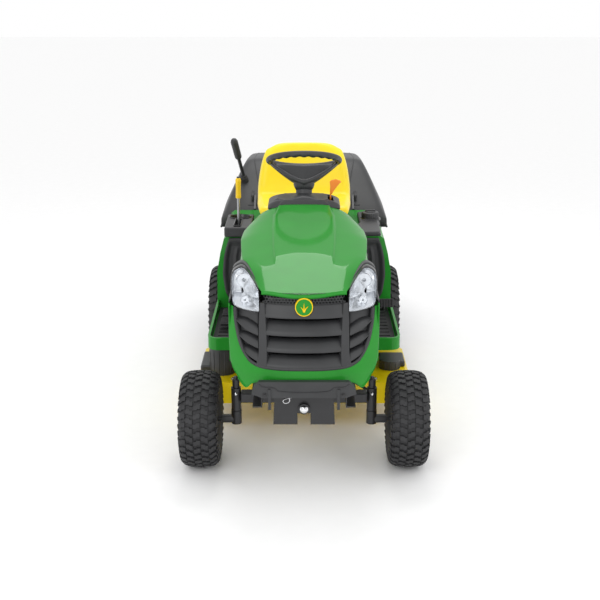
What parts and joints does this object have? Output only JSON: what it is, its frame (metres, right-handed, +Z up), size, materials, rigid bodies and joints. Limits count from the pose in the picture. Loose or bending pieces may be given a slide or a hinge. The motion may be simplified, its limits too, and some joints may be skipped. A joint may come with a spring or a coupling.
{
  "type": "riding lawn mower",
  "caption": "Garden riding mower with front engine, hinged hood, steerable front wheels, rear-discharge deck on a lift lever, sliding seat and tipping rear grass hopper.",
  "frame": {"origin": "on the ground under the centre of the machine's bounding box", "axes": "+X to the machine's left, +Y to the rear, +Z up"},
  "size_m": [0.949, 2.414, 1.1456],
  "materials": {
    "black_steel": "satin black powder coat",
    "green_paint": "gloss green",
    "green_plastic": "gloss moulded green",
    "yellow_paint": "gloss yellow",
    "black_plastic": "fine-grained black",
    "lens": "clear",
    "reflector": "bright reflector plastic",
    "tyre": "matt rubber",
    "rubber": "matt",
    "seat_vinyl": "smooth yellow vinyl on foam",
    "bag_fabric": "coated black mesh",
    "engine_alloy": "cast",
    "engine_cover": "black blower housing",
    "steel": "turned",
    "grey_steel": "zinc plated",
    "battery_case": "moulded",
    "tank_plastic": "blow moulded",
    "orange_plastic": "moulded",
    "yellow_plastic": "moulded"
  },
  "bodies": {
    "chassis": {"chassis_frame": "black_steel", "front_hitch_bracket": "black_steel", "front_bumper": "black_plastic", "engine_block": "engine_alloy", "engine_shroud": "engine_cover", "muffler": "grey_steel", "battery": "battery_case", "fuel_tank": "tank_plastic", "dash_tower": "black_plastic", "fender_deck": "green_plastic", "foot_mats": "rubber", "control_consoles": "black_plastic", "transaxle": "engine_alloy", "rear_plate": "black_steel", "discharge_chute": "black_plastic", "drive_belt": "rubber", "seat_mount": "black_steel"},
    "crankshaft": {"crank_pulleys": "grey_steel"},
    "hood": {"hood_shell": "green_plastic", "grille": "black_plastic", "headlight_lenses": "lens", "headlight_bowls": "reflector", "hood_side_vents": "black_plastic"},
    "front_axle": {"front_axle_beam": "black_steel"},
    "left_knuckle": {"knuckle_left": "black_steel"},
    "right_knuckle": {"knuckle_right": "black_steel"},
    "tie_rod": {"tie_rod": "grey_steel"},
    "drag_link": {"drag_link": "black_steel"},
    "left_front_wheel": {"front_tyre_left": "tyre", "front_rim_left": "yellow_paint"},
    "right_front_wheel": {"front_tyre_right": "tyre", "front_rim_right": "yellow_paint"},
    "left_rear_wheel": {"rear_tyre_left": "tyre", "rear_rim_left": "yellow_paint"},
    "right_rear_wheel": {"rear_tyre_right": "tyre", "rear_rim_right": "yellow_paint"},
    "steering": {"steering_wheel": "black_plastic", "steering_shaft": "steel"},
    "sector": {"steering_sector": "black_steel"},
    "mower_deck": {"deck_shell": "yellow_paint", "deck_covers": "black_plastic", "deck_belt": "rubber"},
    "left_blade": {"blade_left": "steel"},
    "right_blade": {"blade_right": "steel"},
    "lift_lever": {"lift_lever": "grey_steel", "lift_grip": "yellow_plastic"},
    "seat_base": {"seat_bracket": "black_steel"},
    "seat": {"seat_shell": "black_plastic", "seat_cushion": "seat_vinyl"},
    "throttle": {"throttle_lever": "orange_plastic"},
    "key": {"ignition_key": "steel"},
    "blade_knob": {"pto_knob": "yellow_plastic"},
    "brake_pedal": {"brake_pedal": "rubber"},
    "forward_pedal": {"forward_pedal": "rubber"},
    "reverse_pedal": {"reverse_pedal": "rubber"},
    "fuel_cap": {"fuel_cap": "black_plastic"},
    "hopper": {"hopper_frame": "black_steel", "hopper_cover": "black_plastic", "hopper_bag": "bag_fabric"},
    "dump_lever": {"hopper_lever": "black_steel"}
  },
  "joints": [
    {"name": "hood_hinge", "type": "hinge", "parent": "chassis", "child": "hood", "pos_m": [0, -1.158, 0.468], "axis": [1, 0, 0], "range_deg": [0, 70]},
    {"name": "front_axle_pivot", "type": "hinge", "parent": "chassis", "child": "front_axle", "pos_m": [0, -0.913, 0.282], "axis": [0, 1, 0], "range_deg": [-5, 5]},
    {"name": "steering_turn", "type": "hinge", "parent": "chassis", "child": "steering", "pos_m": [0, -0.233, 1.08], "axis": [0, 0.342, 0.9397], "range_deg": [-210, 210]},
    {"name": "sector_turn", "type": "hinge", "parent": "chassis", "child": "sector", "pos_m": [0, -0.58589, 0.36774], "axis": [0, 0.342, 0.9397], "range_deg": [-35.5, 35.5]},
    {"name": "left_kingpin", "type": "hinge", "parent": "front_axle", "child": "left_knuckle", "pos_m": [0.262, -0.913, 0.282], "axis": [0, 0, 1], "range_deg": [-35.5, 35.5]},
    {"name": "right_kingpin", "type": "hinge", "parent": "front_axle", "child": "right_knuckle", "pos_m": [-0.262, -0.913, 0.282], "axis": [0, 0, 1], "range_deg": [-35.5, 35.5]},
    {"name": "tie_rod_swivel", "type": "hinge", "parent": "left_knuckle", "child": "tie_rod", "pos_m": [0.262, -0.818, 0.238], "axis": [0, 0, 1], "range_deg": [-35.5, 35.5]},
    {"name": "drag_link_swivel", "type": "hinge", "parent": "left_knuckle", "child": "drag_link", "pos_m": [0.262, -0.818, 0.262], "axis": [0, 0, 1], "range_deg": [-35.5, 35.5]},
    {"name": "left_front_wheel_spin", "type": "hinge", "parent": "left_knuckle", "child": "left_front_wheel", "pos_m": [0.3995, -0.913, 0.188], "axis": [1, 0, 0], "continuous": true},
    {"name": "right_front_wheel_spin", "type": "hinge", "parent": "right_knuckle", "child": "right_front_wheel", "pos_m": [-0.3995, -0.913, 0.188], "axis": [1, 0, 0], "continuous": true},
    {"name": "left_rear_wheel_spin", "type": "hinge", "parent": "chassis", "child": "left_rear_wheel", "pos_m": [0.3485, 0.332, 0.2286], "axis": [1, 0, 0], "continuous": true},
    {"name": "right_rear_wheel_spin", "type": "hinge", "parent": "chassis", "child": "right_rear_wheel", "pos_m": [-0.3485, 0.332, 0.2286], "axis": [1, 0, 0], "continuous": true},
    {"name": "crankshaft_spin", "type": "hinge", "parent": "chassis", "child": "crankshaft", "pos_m": [0, -0.683, 0.3], "axis": [0, 0, 1], "continuous": true},
    {"name": "deck_lift", "type": "slide", "parent": "chassis", "child": "mower_deck", "axis": [0, 0, 1], "range_m": [-0.07, 0]},
    {"name": "lift_lever_swing", "type": "hinge", "parent": "chassis", "child": "lift_lever", "pos_m": [-0.304, 0.072, 0.56], "axis": [1, 0, 0], "range_deg": [0, 30.5]},
    {"name": "left_blade_spin", "type": "hinge", "parent": "mower_deck", "child": "left_blade", "pos_m": [0.215, -0.341, 0.2], "axis": [0, 0, 1], "continuous": true},
    {"name": "right_blade_spin", "type": "hinge", "parent": "mower_deck", "child": "right_blade", "pos_m": [-0.215, -0.341, 0.2], "axis": [0, 0, 1], "continuous": true},
    {"name": "seat_tilt", "type": "hinge", "parent": "chassis", "child": "seat_base", "pos_m": [0, 0.017, 0.722], "axis": [1, 0, 0], "range_deg": [0, 55]},
    {"name": "seat_slide", "type": "slide", "parent": "seat_base", "child": "seat", "axis": [0, 1, 0], "range_m": [-0.06, 0.04]},
    {"name": "throttle_swing", "type": "hinge", "parent": "chassis", "child": "throttle", "pos_m": [0.112, -0.307, 0.908], "axis": [1, 0, 0], "range_deg": [-25, 20]},
    {"name": "key_turn", "type": "hinge", "parent": "chassis", "child": "key", "pos_m": [-0.092, -0.19, 0.883], "axis": [0, 1, 0], "range_deg": [0, 60]},
    {"name": "blade_knob_pull", "type": "slide", "parent": "chassis", "child": "blade_knob", "axis": [0, 1, 0], "range_m": [0, 0.012]},
    {"name": "brake_press", "type": "hinge", "parent": "chassis", "child": "brake_pedal", "pos_m": [0.235, -0.213, 0.419], "axis": [1, 0, 0], "range_deg": [0, 18], "stiffness_Nm_per_rad": 8, "springref_deg": -14.32},
    {"name": "forward_press", "type": "hinge", "parent": "chassis", "child": "forward_pedal", "pos_m": [-0.262, -0.327, 0.374], "axis": [1, 0, 0], "range_deg": [0, 12], "stiffness_Nm_per_rad": 6, "springref_deg": -14.32},
    {"name": "reverse_press", "type": "hinge", "parent": "chassis", "child": "reverse_pedal", "pos_m": [-0.262, -0.207, 0.374], "axis": [1, 0, 0], "range_deg": [0, 12], "stiffness_Nm_per_rad": 6, "springref_deg": -14.32},
    {"name": "fuel_cap_turn", "type": "hinge", "parent": "chassis", "child": "fuel_cap", "pos_m": [0.318, 0.237, 0.738], "axis": [0, 0, 1], "range_deg": [0, 90]},
    {"name": "hopper_tip", "type": "hinge", "parent": "chassis", "child": "hopper", "pos_m": [0, 0.607, 0.752], "axis": [1, 0, 0], "range_deg": [0, 72]},
    {"name": "dump_lever_pull", "type": "slide", "parent": "hopper", "child": "dump_lever", "axis": [-0.183, -0.4006, 0.8978], "range_m": [0, 0.2]}
  ],
  "couplings": [
    {"joint": "sector_turn", "follows": "steering_turn", "ratio": -0.16667},
    {"joint": "left_kingpin", "follows": "steering_turn", "ratio": 0.16667},
    {"joint": "right_kingpin", "follows": "steering_turn", "ratio": 0.16667},
    {"joint": "tie_rod_swivel", "follows": "steering_turn", "ratio": -0.16667},
    {"joint": "drag_link_swivel", "follows": "steering_turn", "ratio": -0.16667},
    {"joint": "lift_lever_swing", "follows": "deck_lift", "rad_per_m": -7.48},
    {"joint": "right_blade_spin", "follows": "left_blade_spin", "ratio": 1}
  ]
}
